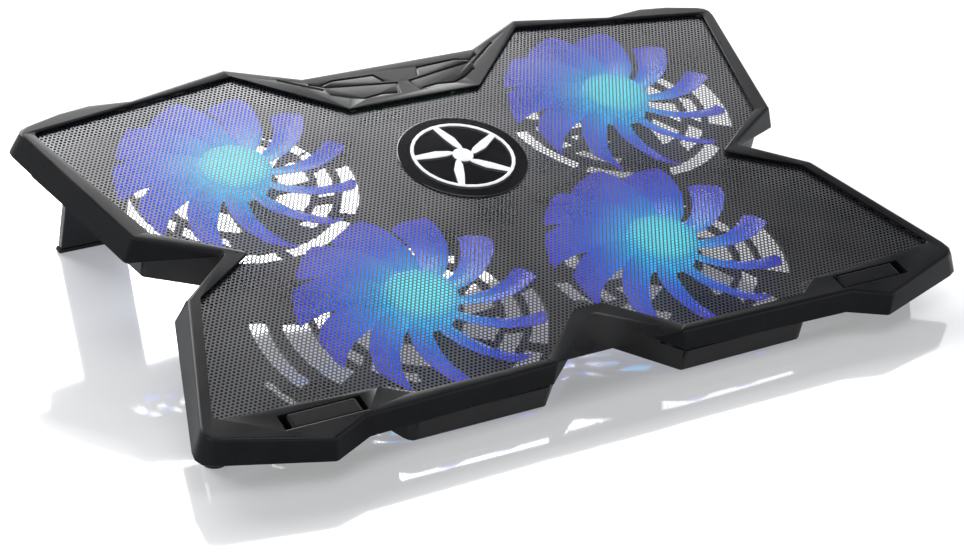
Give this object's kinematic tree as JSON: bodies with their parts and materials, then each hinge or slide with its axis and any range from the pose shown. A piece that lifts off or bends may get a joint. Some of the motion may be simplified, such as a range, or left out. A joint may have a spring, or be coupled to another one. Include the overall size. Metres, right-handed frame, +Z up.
{
  "type": "laptop cooling pad",
  "caption": "Tilted laptop stand with a notched black frame, a perforated sheet over lit blue fans, flip-up stoppers and folding rear legs",
  "frame": {"origin": "on the desk, under the middle of the outer box", "axes": "+X to the right seen from the user, +Y to the rear, +Z up; the pad is raised 14.5 degrees at its rear"},
  "size_m": [0.381, 0.2556, 0.0827],
  "materials": {
    "frame_plastic": "fine matte black moulding",
    "base_plastic": "fine matte black moulding",
    "sheet_metal": "satin black coated perforated steel",
    "badge_gloss": "polished black",
    "badge_mark": "bright plated",
    "fan_blade": "clear blue moulding lit from inside",
    "steel": "plain steel",
    "bearing_bronze": "sintered bronze",
    "winding": "enamelled copper wire",
    "circuit_board": "green lacquered laminate",
    "switch_plastic": "matte black moulding",
    "lead_jacket": "soft black insulation",
    "rubber": "matte black rubber"
  },
  "bodies": {
    "root": {"top_frame": "frame_plastic", "mesh_panel": "sheet_metal", "base_shell": "base_plastic", "badge_disc": "badge_gloss", "badge_ring": "badge_mark", "supply_board": "circuit_board", "switch_housing": "switch_plastic", "fan_bearing_rear_left": "bearing_bronze", "fan_stator_rear_left": "winding", "fan_led_board_rear_left": "circuit_board", "fan_lead_rear_left": "lead_jacket", "fan_bearing_rear_right": "bearing_bronze", "fan_stator_rear_right": "winding", "fan_led_board_rear_right": "circuit_board", "fan_lead_rear_right": "lead_jacket", "fan_bearing_front_left": "bearing_bronze", "fan_stator_front_left": "winding", "fan_led_board_front_left": "circuit_board", "fan_lead_front_left": "lead_jacket", "fan_bearing_front_right": "bearing_bronze", "fan_stator_front_right": "winding", "fan_led_board_front_right": "circuit_board", "fan_lead_front_right": "lead_jacket", "stopper_pin_left": "steel", "leg_pin_left": "steel", "front_foot_left": "rubber", "rear_foot_left": "rubber", "usb_socket_left": "steel", "case_screw_left": "steel", "board_screw_left": "steel", "stopper_pin_right": "steel", "leg_pin_right": "steel", "front_foot_right": "rubber", "rear_foot_right": "rubber", "usb_socket_right": "steel", "case_screw_right": "steel", "board_screw_right": "steel"},
    "fan_rear_left": {"fan_rotor_rear_left": "fan_blade", "fan_shaft_rear_left": "steel"},
    "fan_rear_right": {"fan_rotor_rear_right": "fan_blade", "fan_shaft_rear_right": "steel"},
    "fan_front_left": {"fan_rotor_front_left": "fan_blade", "fan_shaft_front_left": "steel"},
    "fan_front_right": {"fan_rotor_front_right": "fan_blade", "fan_shaft_front_right": "steel"},
    "stopper_left": {"stopper_left": "frame_plastic"},
    "rear_leg_left": {"rear_leg_left": "base_plastic", "leg_sole_left": "rubber"},
    "stopper_right": {"stopper_right": "frame_plastic"},
    "rear_leg_right": {"rear_leg_right": "base_plastic", "leg_sole_right": "rubber"},
    "switch": {"switch_knob": "switch_plastic"}
  },
  "joints": [
    {"name": "fan_spin_rear_left", "type": "hinge", "parent": "root", "child": "fan_rear_left", "pos_m": [-0.1015, 0.04924, 0.05832], "axis": [0, -0.2504, 0.9681], "continuous": true},
    {"name": "fan_spin_rear_right", "type": "hinge", "parent": "root", "child": "fan_rear_right", "pos_m": [0.1015, 0.04924, 0.05832], "axis": [0, -0.2504, 0.9681], "continuous": true},
    {"name": "fan_spin_front_left", "type": "hinge", "parent": "root", "child": "fan_front_left", "pos_m": [-0.0621, -0.05502, 0.03135], "axis": [0, -0.2504, 0.9681], "continuous": true},
    {"name": "fan_spin_front_right", "type": "hinge", "parent": "root", "child": "fan_front_right", "pos_m": [0.0621, -0.05502, 0.03135], "axis": [0, -0.2504, 0.9681], "continuous": true},
    {"name": "stopper_flip_left", "type": "hinge", "parent": "root", "child": "stopper_left", "pos_m": [-0.1216, -0.11246, 0.02218], "axis": [0, 0.9681, 0.2504], "range_deg": [0, 90]},
    {"name": "stopper_flip_right", "type": "hinge", "parent": "root", "child": "stopper_right", "pos_m": [0.1216, -0.11246, 0.02218], "axis": [0, -0.9681, -0.2504], "range_deg": [0, 90]},
    {"name": "leg_fold_left", "type": "hinge", "parent": "root", "child": "rear_leg_left", "pos_m": [-0.1455, 0.10031, 0.05975], "axis": [-1, 0, 0], "range_deg": [0, 98]},
    {"name": "leg_fold_right", "type": "hinge", "parent": "root", "child": "rear_leg_right", "pos_m": [0.1455, 0.10031, 0.05975], "axis": [-1, 0, 0], "range_deg": [0, 98]},
    {"name": "switch_slide", "type": "slide", "parent": "root", "child": "switch", "axis": [1, 0, 0], "range_m": [0, 0.0036]}
  ]
}
